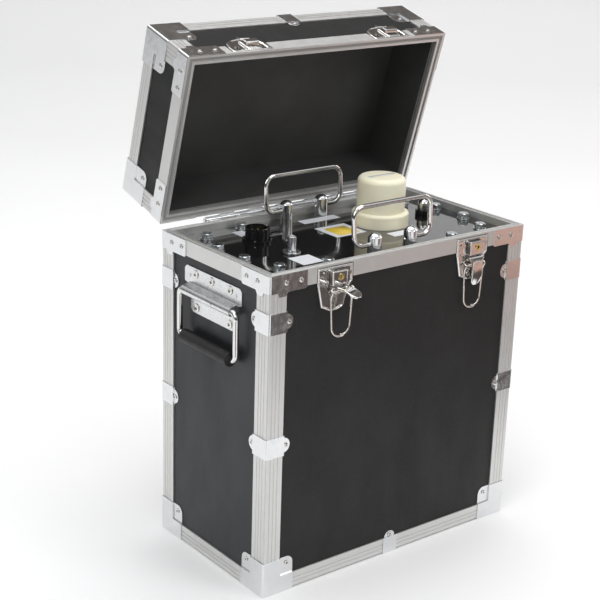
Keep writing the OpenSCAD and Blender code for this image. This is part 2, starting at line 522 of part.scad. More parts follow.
module lid_corner_caps() color(zinc) lid_place() difference() { caps(); lid_holes(); }
module lid_rim_brackets() color(zinc) lid_place() difference() { brackets(lid_rim); lid_holes(); }
module lid_edge_clips() color(zinc) lid_place() difference() { both_y() base_clip(); lid_holes(); }
keeper_pts = [[-15.3, 415, 3], [15.3, 415, 3], [0, 436, 2.4]];
module keeper_holes() at_latches() for (p = keeper_pts) translate([p[0], 0.5 - hd, p[1]]) rotate([90, 0, 0]) shank();
module lid_screws() color(zinc) {
  lid_place() box_screws(lid_rim, false) screw(2.9);
  lid_swing() { at_latches() for (p = keeper_pts) translate([p[0], 0.5 - hd, p[1]]) rotate([90, 0, 0]) rivet(p[2]); hinge_screws(pin_z + 11) screw(2.3); }
}
module latch_keepers() color(zinc) lid_swing() difference() {
  at_latches() {
    translate([0, leg_t - hd, 0]) rotate([90, 0, 0]) linear_extrude(1.5) intersection() { translate([-29, 402.6]) square([58, 38.4]); translate([0, 402.6]) circle(38.4, $fn = 96); }
    translate([-9.5, -hd - 1.5, 403]) cube([19, 2.1, 27]);
    translate([-9.5, -hd - 5.5, 411]) cube([19, 6, 3]);
    translate([-9.5, -hd - 7, 411]) cube([19, 1.6, 9.6]);
  }
  keeper_holes();
}

case_front_back_panels();
case_side_panels();
case_bottom_panel();
case_edge_profiles();
case_rim_profiles();
case_corner_caps();
case_rim_brackets();
case_edge_clips();
case_screws();
hinge_case_leaf();
hinge_pin();
latch_plates();
latch_lock_housings();
latch_pivot_pins();
side_handle_plates();
oil_tank();
tank_gasket();
cover_plate();
cover_bolts();
handle_posts();
output_bushing();
output_contact();
connector_shell();
connector_insert();
connector_pins();
ground_stud();
ground_washers();
filler_collar();
panel_labels();
transformer_core();
low_voltage_winding();
high_voltage_winding();
high_voltage_lead();
lid_top_panel();
lid_wall_panels();
lid_edge_profiles();
lid_rim_profiles();
lid_corner_caps();
lid_rim_brackets();
lid_edge_clips();
lid_screws();
latch_keepers();
hinge_lid_leaf();
left_handle_bail();
left_handle_grip();
right_handle_bail();
right_handle_grip();
front_panel_handle();
back_panel_handle();
left_latch_lever();
right_latch_lever();
left_latch_bar();
right_latch_bar();
left_latch_bail();
right_latch_bail();
left_lock_barrel();
right_lock_barrel();
output_cap();
ground_nut();
filler_plug();
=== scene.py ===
import json
import math
import bpy
import bmesh
from mathutils import Matrix, Vector


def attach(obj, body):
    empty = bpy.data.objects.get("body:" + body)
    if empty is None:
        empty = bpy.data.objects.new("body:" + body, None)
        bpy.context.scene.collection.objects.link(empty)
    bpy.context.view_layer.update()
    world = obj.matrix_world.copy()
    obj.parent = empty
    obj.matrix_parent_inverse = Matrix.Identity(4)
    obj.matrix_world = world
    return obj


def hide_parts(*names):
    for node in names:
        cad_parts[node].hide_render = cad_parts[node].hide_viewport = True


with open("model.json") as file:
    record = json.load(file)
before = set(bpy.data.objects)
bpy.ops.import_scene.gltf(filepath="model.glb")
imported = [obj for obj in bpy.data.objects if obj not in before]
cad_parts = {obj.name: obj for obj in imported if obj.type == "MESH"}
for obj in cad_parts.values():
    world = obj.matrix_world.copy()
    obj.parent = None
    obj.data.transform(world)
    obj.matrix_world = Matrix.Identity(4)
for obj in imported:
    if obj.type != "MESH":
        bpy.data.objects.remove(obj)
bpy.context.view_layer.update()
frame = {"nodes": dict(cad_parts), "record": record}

N = frame["nodes"]
scene = bpy.context.scene
R = math.radians
OPEN = R(74.08)
PIN = Vector((0, 0.1155, 0.400))
HW, HD, LID_TOP = 0.198, 0.109, 0.488   # outer faces of the edge profiles


# ---------------------------------------------------------------- camera
def make_camera():
    f, az, el, roll = 1436.8081, -0.66859778, 0.33139869, 0.03140877
    back = Vector((math.sin(az) * math.cos(el), -math.cos(az) * math.cos(el), math.sin(el)))
    fwd = -back
    right = fwd.cross(Vector((0, 0, 1))).normalized()
    up = right.cross(fwd)
    r2 = right * math.cos(roll) + up * math.sin(roll)
    u2 = -right * math.sin(roll) + up * math.cos(roll)
    cam = bpy.data.cameras.new("camera")
    cam.sensor_width = 36
    cam.lens = f / 600 * 36
    cam.clip_start, cam.clip_end = 0.05, 60
    o = bpy.data.objects.new("camera", cam)
    scene.collection.objects.link(o)
    m = Matrix((r2, u2, back)).transposed().to_4x4()
    m.translation = Vector((-1.097012, -1.300917, 0.888221))
    o.matrix_world = m
    scene.camera = o


make_camera()


# ---------------------------------------------------------------- materials
class Mat:
    """One Principled material and short ways to wire procedural detail into it."""

    def __init__(self, name, color, rough, metal=0.0, lid=False, **fixed):
        self.m = bpy.data.materials.new(name)
        self.m.use_nodes = True
        nt = self.nt = self.m.node_tree
        nt.nodes.clear()
        self.out = nt.nodes.new("ShaderNodeOutputMaterial")
        self.b = nt.nodes.new("ShaderNodeBsdfPrincipled")
        nt.links.new(self.b.outputs[0], self.out.inputs[0])
        self.b.inputs["Base Color"].default_value = (*color, 1)
        self.b.inputs["Roughness"].default_value = rough
        self.b.inputs["Metallic"].default_value = metal
        for k, v in fixed.items():
            self.b.inputs[k.replace("_", " ")].default_value = v
        self.color, self.rough = color, rough
        tc = nt.nodes.new("ShaderNodeTexCoord")
        self.co = tc.outputs["Object"]
        if lid:
            mp = nt.nodes.new("ShaderNodeMapping")
            mp.inputs["Rotation"].default_value = (OPEN, 0, 0)
            rot = Matrix.Rotation(OPEN, 3, "X")
            mp.inputs["Location"].default_value = PIN - rot @ PIN
            nt.links.new(self.co, mp.inputs["Vector"])
            self.co = mp.outputs[0]
        self.height = None
        self.normal = tc.outputs["Normal"]
        if lid:
            mn = nt.nodes.new("ShaderNodeMapping")
            mn.vector_type = "NORMAL"
            mn.inputs["Rotation"].default_value = (OPEN, 0, 0)
            nt.links.new(self.normal, mn.inputs["Vector"])
            self.normal = mn.outputs[0]

    def flute_floor(self, planes, half=0.0004):
        """1 on the floors of the flutes, which lie just under the outer faces; planes is (axis, distance of the outer face)"""
        p = self.node("ShaderNodeSeparateXYZ")
        self.link(self.co, p.inputs[0])
        q = self.node("ShaderNodeSeparateXYZ")
        self.link(self.normal, q.inputs[0])
        total = None
        for i, d in planes:
            a = self.node("ShaderNodeMath", operation="ABSOLUTE")
            self.link(p.outputs[i], a.inputs[0])
            c = self.node("ShaderNodeMath", operation="COMPARE")
            self.link(a.outputs[0], c.inputs[0])
            c.inputs[1].default_value = d - 0.0001 - half
            c.inputs[2].default_value = half
            b = self.node("ShaderNodeMath", operation="ABSOLUTE")
            self.link(q.outputs[i], b.inputs[0])
            g = self.node("ShaderNodeMath", operation="GREATER_THAN")
            self.link(b.outputs[0], g.inputs[0])
            g.inputs[1].default_value = 0.35
            m = self.math("MULTIPLY", c.outputs[0], g.outputs[0])
            total = m if total is None else self.math("MAXIMUM", total, m)
        return total

    def node(self, kind, **kw):
        n = self.nt.nodes.new(kind)
        for k, v in kw.items():
            setattr(n, k, v)
        return n

    def link(self, a, b):
        self.nt.links.new(a, b)

    def scaled(self, s):
        n = self.node("ShaderNodeVectorMath", operation="MULTIPLY")
        n.inputs[1].default_value = s
        self.link(self.co, n.inputs[0])
        return n.outputs[0]

    def noise(self, scale, detail=4.0, rough=0.55, stretch=(1, 1, 1)):
        n = self.node("ShaderNodeTexNoise")
        n.inputs["Scale"].default_value = scale
        n.inputs["Detail"].default_value = detail
        n.inputs["Roughness"].default_value = rough
        self.link(self.scaled(stretch), n.inputs["Vector"])
        return n.outputs["Fac"]

    def ramp(self, fac, lo, hi, a, b):
        n = self.node("ShaderNodeMapRange")
        n.inputs["From Min"].default_value, n.inputs["From Max"].default_value = lo, hi
        n.inputs["To Min"].default_value, n.inputs["To Max"].default_value = a, b
        self.link(fac, n.inputs["Value"])
        return n.outputs["Result"]

    def math(self, op, a, b):
        n = self.node("ShaderNodeMath", operation=op)
        for i, v in enumerate((a, b)):
            if isinstance(v, (int, float)):
                n.inputs[i].default_value = v
            else:
                self.link(v, n.inputs[i])
        return n.outputs[0]

    def tint(self, fac, color, strength=1.0):
        """mixes another colour into the base where fac is high"""
        n = self.node("ShaderNodeMix", data_type="RGBA")
        n.inputs["Factor"].default_value = 0
        f = self.math("MULTIPLY", fac, strength) if strength != 1.0 else fac
        self.link(f, n.inputs["Factor"])
        prev = self.b.inputs["Base Color"]
        if prev.is_linked:
            self.link(prev.links[0].from_socket, n.inputs[6])
        else:
            n.inputs[6].default_value = prev.default_value
        n.inputs[7].default_value = (*color, 1)
        self.link(n.outputs[2], self.b.inputs["Base Color"])
        return self

    def roughness(self, fac, lo, hi, a, b):
        self.link(self.ramp(fac, lo, hi, a, b), self.b.inputs["Roughness"])
        return self

    def bump(self, fac, dist, strength=1.0):
        n = self.node("ShaderNodeBump")
        n.inputs["Strength"].default_value = strength
        n.inputs["Distance"].default_value = dist
        self.link(fac, n.inputs["Height"])
        if self.height is not None:
            self.link(self.height, n.inputs["Normal"])
        self.height = n.outputs[0]
        self.link(self.height, self.b.inputs["Normal"])
        return self

    def wave(self, scale, direction="X", distort=0.0):
        n = self.node("ShaderNodeTexWave", bands_direction=direction, wave_type="BANDS", wave_profile="SIN")
        n.inputs["Scale"].default_value = scale
        n.inputs["Distortion"].default_value = distort
        self.link(self.co, n.inputs["Vector"])
        return n.outputs["Fac"]

    def axis(self, i):
        n = self.node("ShaderNodeSeparateXYZ")
        self.link(self.co, n.inputs[0])
        return n.outputs[i]


def board(name, base, lid=False, rough=0.42, weave=1.0, outer=None):
    """dark laminate: fine woven relief, faint cloudiness, dust and a few rubs"""
    k = Mat(name, base, rough, 0.0, lid, Specular_IOR_Level=0.33)
    cloud = k.noise(9, 5, 0.6)
    k.tint(k.ramp(cloud, 0.35, 0.75, 0, 0.55), tuple(c * 1.9 + 0.006 for c in base))
    speck = k.noise(900, 2, 0.5)
    k.tint(k.ramp(speck, 0.66, 0.76, 0, 0.35), (0.16, 0.16, 0.165))
    smear = k.noise(26, 6, 0.65, (1, 1, 0.25))
    k.roughness(smear, 0.3, 0.72, rough - 0.09, rough + 0.13)
    wx = k.wave(480, "X")
    wz = k.wave(480, "Z")
    wy = k.wave(480, "Y")
    h = k.math("ADD", k.math("MULTIPLY", wx, wz), k.math("MULTIPLY", wy, 0.5))
    k.bump(h, 0.00006 * weave, 0.6)
    k.bump(k.noise(2600, 2, 0.5), 0.00003 * weave, 0.5)
    if outer:
        # the outside of the lid is the same dark laminate as the case; its inside keeps a paler base, which is painted
        # light standing in for the light that falls into the open lid
        p = k.node("ShaderNodeSeparateXYZ")
        k.link(k.co, p.inputs[0])
        far = []
        for i, lim in ((0, 0.1925), (1, 0.1035), (2, 0.4825)):
            a = k.node("ShaderNodeMath", operation="ABSOLUTE")
            k.link(p.outputs[i], a.inputs[0])
            far.append(k.math("GREATER_THAN", a.outputs[0], lim))
        k.tint(k.math("MAXIMUM", k.math("MAXIMUM", far[0], far[1]), far[2]), outer, 0.97)
    return k.m


def extrusion(name, lid=False):
    """satin anodised aluminium with handling marks; the flute floors are darkened as painted shade, and on the lid so
    are the downward faces along its mouth
    """
    k = Mat(name, (0.72, 0.72, 0.71), 0.42, 0.8, lid)
    grime_and_shade = k.noise(55, 6, 0.7)
    k.tint(k.ramp(grime_and_shade, 0.52, 0.8, 0, 0.3), (0.66, 0.65, 0.63))
    fine = k.noise(1500, 3, 0.6, (1, 1, 0.12))
    k.roughness(k.noise(120, 5, 0.6), 0.3, 0.7, 0.36, 0.5)
    k.bump(fine, 0.000006, 0.4)
    # painted shade: the floors of the flutes are darkened
    floor = k.flute_floor([(0, HW), (1, HD), (2, LID_TOP if lid else 0.00215)])
    k.tint(floor, (0.34, 0.33, 0.32), 0.32)
    # painted shade: on the lid the flute floors of the front and back faces are darkened further
    if lid:
        k.tint(k.flute_floor([(1, HD)]), (0.28, 0.28, 0.27), 0.6)
    # painted shade: on the lid, downward-facing faces in a thin band at the mouth (z 0.402 with the lid shut) are
    # darkened
    if lid:
        z = k.axis(2)
        c = k.node("ShaderNodeMath", operation="COMPARE")
        k.link(z, c.inputs[0])
        c.inputs[1].default_value = 0.4020
        c.inputs[2].default_value = 0.0009
        q = k.node("ShaderNodeSeparateXYZ")
        k.link(k.normal, q.inputs[0])
        down = k.math("MULTIPLY", q.outputs[2], -1.0)
        k.tint(k.math("MULTIPLY", c.outputs[0], k.math("GREATER_THAN", down, 0.35)), (0.20, 0.19, 0.18), 0.6)
    return k.m


def plated(name, color, rough, spread=0.08, dull=(0.5, 0.5, 0.51), dull_amt=0.3, lid=False, bump=0.00004, grime_and_shade=None, reach=0.0016):
    """bright plated steel: faint waviness of the sheet, rubbed spots, hairline scratches, and, where a colour is given
    for it, painted shade darkening the corners and recesses
    """
    k = Mat(name, color, rough, 1.0, lid)
    if grime_and_shade:
        # painted shade: ambient occlusion within the given reach darkens the colour in corners and recesses
        ao = k.node("ShaderNodeAmbientOcclusion", samples=8)
        ao.inputs["Distance"].default_value = reach
        k.late = k.ramp(ao.outputs["AO"], 0.25, 0.9, 0.85, 0)
    k.tint(k.ramp(k.noise(70, 6, 0.65), 0.5, 0.8, 0, dull_amt), dull)
    k.roughness(k.noise(160, 6, 0.6), 0.3, 0.72, max(0.03, rough - spread * 0.6), rough + spread)
    k.bump(k.noise(140, 3, 0.5), bump * 4, 0.35)
    k.bump(k.noise(1800, 2, 0.5, (1, 0.2, 0.3)), bump * 0.5, 0.4)
    # lay the painted shade colour into the corners and recesses
    if grime_and_shade:
        k.tint(k.late, grime_and_shade)
    return k.m


def cast(name, base, rough, grain=0.00003, scale=700, mottle=0.12, spec=0.5, lid=False):
    """moulded plastic, rubber or paint with fine grain"""
    k = Mat(name, base, rough, 0.0, lid, Specular_IOR_Level=spec)
    k.tint(k.ramp(k.noise(40, 5, 0.6), 0.4, 0.8, 0, mottle), tuple(min(1, c * 0.7 + 0.03) for c in base))
    k.roughness(k.noise(90, 5, 0.6), 0.3, 0.7, max(0.03, rough - 0.06), rough + 0.08)
    k.bump(k.noise(scale, 3, 0.5), grain, 0.6)
    return k.m


def nylon(name):
    """cast ivory nylon turned on a lathe: fine tool rings and a warm cloudy body"""
    k = Mat(name, (0.99, 0.93, 0.71), 0.4, 0.0, Specular_IOR_Level=0.5, Subsurface_Weight=0.25, Subsurface_Scale=0.006)
    k.b.inputs["Subsurface Radius"].default_value = (1.0, 0.75, 0.4)
    k.tint(k.ramp(k.noise(30, 5, 0.6), 0.42, 0.8, 0, 0.4), (0.96, 0.92, 0.78))
    k.tint(k.ramp(k.noise(160, 4, 0.6), 0.62, 0.8, 0, 0.12), (0.78, 0.70, 0.50))
    k.roughness(k.noise(80, 5, 0.6), 0.3, 0.7, 0.34, 0.5)
    k.bump(k.wave(520, "Z"), 0.00003, 0.5)
    k.bump(k.noise(900, 2, 0.5), 0.00002, 0.4)
    return k.m


M = {}
M["board_front"] = board("board_front_mat", (0.0085, 0.0082, 0.0081), rough=0.5)
M["board_side"] = board("board_side_mat", (0.017, 0.018, 0.02), rough=0.38, weave=0.35)
# the lid board's paler base is painted light for its inside; its outer faces are tinted back to the dark laminate
M["board_lid"] = board("board_lid_mat", (0.044, 0.044, 0.043), lid=True, rough=0.5, weave=0.5, outer=(0.0105, 0.0105, 0.0105))
M["aluminium"] = extrusion("aluminium_mat")
M["aluminium_lid"] = extrusion("aluminium_lid_mat", True)
M["zinc_steel"] = plated("zinc_steel_mat", (0.78, 0.79, 0.8), 0.17, 0.1)
M["zinc_lid"] = plated("zinc_lid_mat", (0.78, 0.79, 0.8), 0.17, 0.1, lid=True)
# the last colour given to screws, bolts, galvanised sheet, latch chrome and brass is painted shade for their corners
# and recesses
M["screw_steel"] = plated("screw_steel_mat", (0.76, 0.75, 0.72), 0.16, grime_and_shade=(0.13, 0.09, 0.045), reach=0.0022)
M["bolt_zinc"] = plated("bolt_zinc_mat", (0.66, 0.70, 0.72), 0.24, 0.12, (0.42, 0.46, 0.48), 0.5, grime_and_shade=(0.16, 0.17, 0.17))
M["galvanised"] = plated("galvanised_mat", (0.76, 0.77, 0.775), 0.28, 0.08, (0.62, 0.63, 0.64), 0.2, bump=0.000012, grime_and_shade=(0.2, 0.2, 0.2))
M["latch_chrome"] = plated("latch_chrome_mat", (0.78, 0.77, 0.755), 0.085, 0.06, grime_and_shade=(0.14, 0.12, 0.10), reach=0.0022)
M["wire_steel"] = plated("wire_steel_mat", (0.7, 0.66, 0.62), 0.22, 0.08, (0.4, 0.37, 0.34), 0.4)
M["brass"] = plated("brass_mat", (0.93, 0.77, 0.33), 0.2, 0.08, (0.7, 0.52, 0.2), 0.4, grime_and_shade=(0.10, 0.06, 0.02), reach=0.0028)
M["gold"] = plated("gold_mat", (1.0, 0.74, 0.28), 0.42, 0.06, (0.8, 0.55, 0.2), 0.2)
M["handle_chrome"] = plated("handle_chrome_mat", (0.77, 0.765, 0.755), 0.05, 0.05, (0.6, 0.59, 0.57), 0.2)
M["post_nickel"] = plated("post_nickel_mat", (0.74, 0.75, 0.76), 0.18, 0.08)
M["nut_steel"] = plated("nut_steel_mat", (0.72, 0.73, 0.75), 0.22, 0.1)
M["grip_rubber"] = cast("grip_rubber_mat", (0.012, 0.012, 0.013), 0.55, 0.00006, 900)
M["tank_paint"] = cast("tank_paint_mat", (0.25, 0.27, 0.29), 0.45)
M["connector_black"] = cast("connector_black_mat", (0.008, 0.008, 0.009), 0.12, 0.00001)
M["label_card"] = cast("label_card_mat", (0.74, 0.76, 0.8), 0.35, 0.00001, 500, 0.1)
M["core_steel"] = cast("core_steel_mat", (0.06, 0.062, 0.07), 0.4)
M["copper_wire"] = plated("copper_wire_mat", (0.7, 0.34, 0.16), 0.3)
M["winding_paper"] = cast("winding_paper_mat", (0.6, 0.5, 0.3), 0.7, 0.00005, 300)
M["lead_rubber"] = cast("lead_rubber_mat", (0.32, 0.03, 0.02), 0.5)
M["nylon"] = nylon("nylon_mat")
M["label_yellow"] = cast("label_yellow_mat", (0.72, 0.52, 0.05), 0.35, 0.00001, 500, 0.15)
M["strip_film"] = cast("strip_film_mat", (0.66, 0.66, 0.63), 0.32, 0.00001, 500, 0.15)


def cover_gloss():
    """deep black stoved enamel, almost a mirror, with faint orange peel and dust"""
    k = Mat("cover_gloss_mat", (0.006, 0.006, 0.007), 0.07, 0.0, Specular_IOR_Level=0.6, Coat_Weight=0.6, Coat_Roughness=0.03)
    k.tint(k.ramp(k.noise(1300, 2, 0.5), 0.68, 0.76, 0, 0.3), (0.2, 0.2, 0.2))
    k.roughness(k.noise(24, 6, 0.6), 0.35, 0.75, 0.05, 0.16)
    k.bump(k.noise(210, 2, 0.5), 0.00002, 0.3)
    return k.m


M["cover_gloss"] = cover_gloss()

SLOT = {s["node"]: s["material_slot"] for s in frame["record"]["subparts"]}


def paint(o, m):
    if not o.data.materials:
        o.data.materials.append(m)
    for i in range(len(o.data.materials)):
        o.data.materials[i] = m


for name, o in N.items():
    s = SLOT.get(name, "zinc_steel")
    if name.startswith("lid_") or name == "hinge_lid_leaf":
        s = {"aluminium": "aluminium_lid", "board_side": "board_lid", "board_front": "board_lid", "zinc_steel": "zinc_lid"}.get(s, s)
    paint(o, M[s])


# ---------------------------------------------------------------- softened edges on carried-over nodes
def soften(name, width, segments=2, angle=32):
    o = N[name]
    for p in o.data.polygons:
        p.use_smooth = True
    w = o.modifiers.new("weld", "WELD")
    w.merge_threshold = 2e-6
    d = o.modifiers.new("flat", "DECIMATE")
    d.decimate_type = "DISSOLVE"
    d.angle_limit = R(0.4)
    b = o.modifiers.new("edge", "BEVEL")
    b.width = width
    b.segments = segments
    b.limit_method = "ANGLE"
    b.angle_limit = R(angle)
    b.use_clamp_overlap = True
    n = o.modifiers.new("normals", "WEIGHTED_NORMAL")
    n.keep_sharp = False
    n.weight = 80


SOFT = {
    "case_front_back_panels": 0.0003, "case_side_panels": 0.0003, "lid_wall_panels": 0.0003, "lid_top_panel": 0.0003, "case_bottom_panel": 0.0003,
    "case_edge_profiles": 0.00025, "case_rim_profiles": 0.00025, "lid_edge_profiles": 0.00025, "lid_rim_profiles": 0.00025,
    "case_corner_caps": 0.00045, "case_rim_brackets": 0.00045, "case_edge_clips": 0.0004,
    "lid_corner_caps": 0.00045, "lid_rim_brackets": 0.00045, "lid_edge_clips": 0.0004,
    "hinge_case_leaf": 0.0003, "hinge_lid_leaf": 0.0003, "case_screws": 0.0004, "lid_screws": 0.0004,
    "side_handle_plates": 0.0004, "cover_plate": 0.0004, "cover_bolts": 0.00035, "handle_posts": 0.0004,
    "connector_insert": 0.0003, "ground_washers": 0.0003, "ground_nut": 0.0004,
    "filler_collar": 0.0005, "panel_labels": 0.0001,
    "left_lock_barrel": 0.0003, "right_lock_barrel": 0.0003, "output_bushing": 0.0004, "oil_tank": 0.0005,
}
for n_, w_ in SOFT.items():
    if n_ in N:
        soften(n_, w_)
for n_, o in N.items():
    if n_ not in SOFT:
        for p in o.data.polygons:
            p.use_smooth = True


# ---------------------------------------------------------------- pieces drawn in mesh code
def new_piece(name, body, mat, bm, replaces=None, subsurf=0, smooth=True, bevel=0.0):
    me = bpy.data.meshes.new(name)
    bmesh.ops.recalc_face_normals(bm, faces=bm.faces)
    bm.to_mesh(me)
    bm.free()
    if smooth:
        me.polygons.foreach_set("use_smooth", [True] * len(me.polygons))
    me.materials.append(mat)
    o = bpy.data.objects.new(name, me)
    scene.collection.objects.link(o)
    if bevel:
        b = o.modifiers.new("edge", "BEVEL")
        b.width = bevel
        b.segments = 3
        b.limit_method = "ANGLE"
        b.angle_limit = R(35)
        b.use_clamp_overlap = True
    if subsurf:
        s = o.modifiers.new("sub", "SUBSURF")
        s.levels = s.render_levels = subsurf
    if bevel:
        n = o.modifiers.new("normals", "WEIGHTED_NORMAL")
        n.keep_sharp = False
    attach(o, body)
    if replaces:
        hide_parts(replaces)
    return o


def catmull(points, steps=6):
    p = [Vector(q) for q in points]
    p = [2 * p[0] - p[1]] + p + [2 * p[-1] - p[-2]]
    out = []
    for i in range(1, len(p) - 2):
        for j in range(steps):
            t = j / steps
            a, b, c, d = p[i - 1], p[i], p[i + 1], p[i + 2]
            out.append(0.5 * ((2 * b) + (c - a) * t + (2 * a - 5 * b + 4 * c - d) * t * t + (3 * b - a - 3 * c + d) * t ** 3))
    out.append(p[-2])
    return out


def tube(bm, path, r, sides=14, up=Vector((1, 0, 0)), dome=True):
    """round wire along a path, with domed ends"""
    n = len(path)
    frames = []
    t0 = (path[1] - path[0]).normalized()
    u = (up - up.dot(t0) * t0).normalized()
    for i in range(n):
        t = (path[min(i + 1, n - 1)] - path[max(i - 1, 0)]).normalized()
        u = (u - u.dot(t) * t).normalized()
        frames.append((path[i], t, u.copy(), t.cross(u)))
    rings = []

    def ring(c, u, v, rad):
        rings.append([bm.verts.new(c + rad * (math.cos(2 * math.pi * k / sides) * u + math.sin(2 * math.pi * k / sides) * v)) for k in range(sides)])
    if dome:
        c, t, u, v = frames[0]
        for a in (75, 50, 25):
            ring(c - t * r * 0.7 * math.sin(R(a)), u, v, r * math.cos(R(a)))
    for c, t, u, v in frames:
        ring(c, u, v, r)
    if dome:
        c, t, u, v = frames[-1]
        for a in (25, 50, 75):
            ring(c + t * r * 0.7 * math.sin(R(a)), u, v, r * math.cos(R(a)))
    for a, b in zip(rings, rings[1:]):
        for k in range(sides):
            bm.faces.new((a[k], a[(k + 1) % sides], b[(k + 1) % sides], b[k]))
    bm.faces.new(rings[0][::-1])
    bm.faces.new(rings[-1])


def wire_loop(name, body, node, origin):
    """sprung wire loop: a ring eye at each end of the cross bar, the two ends welded side by side at the bottom"""
    bm = bmesh.new()
    o = Vector(origin) + Vector((-0.0004, 0, 0))
    mm = 0.001
    for s in (-1, 1):
        pts = []
        for k in range(0, 12):
            a = R(38 + k * 282 / 11)
            pts.append((s * 15.55, 2.75 * math.sin(a), -2.75 * math.cos(a)))
        pts += [(s * 15.5, -0.55, -4.9), (s * 15.3, 0, -8.5), (s * 14.7, 0, -20), (s * 13.9, 0, -33), (s * 13.35, 0, -41)]
        last = 98 if s < 0 else 86
        for a in (20, 40, 60, 78, last):
            rr = 13.35 + (0.25 if s < 0 else -1.9 * max(0, (a - 50) / 36.0))
            pts.append((s * rr * math.cos(R(a)), 0, -41 - rr * math.sin(R(a))))
        if s < 0:
            pts.append((4.4, 0, -41 - 12.95))
        else:
            pts.append((0.2, 0, -41 - 11.15))
        tube(bm, [o + Vector(q) * mm for q in catmull(pts, 5)], 1.2 * mm)
    return new_piece(name, body, M["wire_steel"], bm, node)


wire_loop("left_wire_loop", "left_loop", "left_latch_bail", (-0.1055, -0.121995, 0.371021))
wire_loop("right_wire_loop", "right_loop", "right_latch_bail", (0.110, -0.114, 0.3633))


def inset_ring(poly, d):
    n = len(poly)
    out = []
    for i in range(n):
        p0, p, p1 = Vector(poly[i - 1]), Vector(poly[i]), Vector(poly[(i + 1) % n])
        e0, e1 = (p - p0).normalized(), (p1 - p).normalized()
        n0, n1 = Vector((-e0.y, e0.x)), Vector((-e1.y, e1.x))
        m = (n0 + n1).normalized()
        out.append(p + m * (d / max(0.5, m.dot(n0))))
    return out


def fillet(poly, r, steps=5):
    """rounds each corner of a polygon with an arc of radius r; every ring keeps the same number of points"""
    n = len(poly)
    out = []
    for i in range(n):
        p, pr, nx = Vector(poly[i]), Vector(poly[i - 1]), Vector(poly[(i + 1) % n])
        e0, e1 = (pr - p), (nx - p)
        l0, l1 = e0.length, e1.length
        e0, e1 = e0 / l0, e1 / l1
        half = math.acos(max(-1, min(1, e0.dot(e1)))) / 2
        t = min(r / math.tan(half), 0.42 * l0, 0.42 * l1)
        a, b = p + e0 * t, p + e1 * t
        for j in range(steps + 1):
            u = j / steps
            out.append(a * (1 - u) ** 2 + p * 2 * u * (1 - u) + b * u ** 2)
    return out


def latch_plate(name, cx, replaces):
    """stamped tray: a rolled rim all round a sunk floor, and two ears that carry the lever's pivot"""
    bm = bmesh.new()
    mm = 0.001
    # counter-clockwise seen from outside: u to the right, w up
    poly = [(-26, 397.3), (-25.7, 376), (-20, 349.6), (-7, 343.5), (3, 343.5), (13, 346.4), (16, 355.4), (19.5, 367), (26, 375.8), (26, 397.3)]
    rim = [0.85, 1.15, 1.3, 1.2, 1.1, 0.9, 0.55, 0.6, 0.9, 0.85]
    prof = [(0.0, 0.0), (0.05, 0.8), (0.3, 1.7), (0.75, 2.6), (1.3, 3.2), (1.9, 3.35), (2.35, 3.1), (2.65, 2.5), (2.85, 1.9), (3.2, 1.55), (3.9, 1.5)]
    steps = 5
    rings = []
    for d, h in prof:
        ring = []
        for i, q in enumerate(fillet(inset_ring(poly, d), max(0.35, 1.7 - 0.3 * d), steps)):
            k = rim[i // (steps + 1)]
            hh = h if h <= 1.5 else 1.5 + (h - 1.5) * k
            ring.append(bm.verts.new(((cx * 1000 + q.x) * mm, (-107 - hh) * mm, q.y * mm)))
        rings.append(ring)
    n = len(rings[0])
    for a, b in zip(rings, rings[1:]):
        for i in range(n):
            bm.faces.new((a[i], a[(i + 1) % n], b[(i + 1) % n], b[i]))
    bm.faces.new(rings[0][::-1])
    bm.faces.new(rings[-1])
    o = new_piece(name, "case", M["latch_chrome"], bm, replaces)
    w = o.modifiers.new("normals", "WEIGHTED_NORMAL")
    w.keep_sharp = False
    # ears
    for tag, v in (("a", -8.8), ("b", 13.3)):
        bm = bmesh.new()
        out = [(-108.2, 374.2), (-111.2, 373.9), (-113.0, 373.5)]
        out += [(-114 - 2.4 * math.sin(R(t)), 371.3 + 2.4 * math.cos(R(t))) for t in (0, 30, 60, 90, 120, 150, 180)]
        out += [(-113.0, 368.95), (-111.2, 368.4), (-108.2, 366.8)]
        lo = [bm.verts.new(((cx * 1000 + v) * mm, y * mm, z * mm)) for y, z in out]
        hi = [bm.verts.new(((cx * 1000 + v + 1.5) * mm, y * mm, z * mm)) for y, z in out]
        k = len(out)
        bm.faces.new(lo)
        bm.faces.new(hi[::-1])
        for i in range(k):
            bm.faces.new((lo[i], hi[i], hi[(i + 1) % k], lo[(i + 1) % k]))
        e = new_piece(name + "_ear_" + tag, "case", M["latch_chrome"], bm, None, bevel=0.0003)


latch_plate("left_latch_plate", -0.1055, "latch_plates")
latch_plate("right_latch_plate", 0.110, "latch_plates")


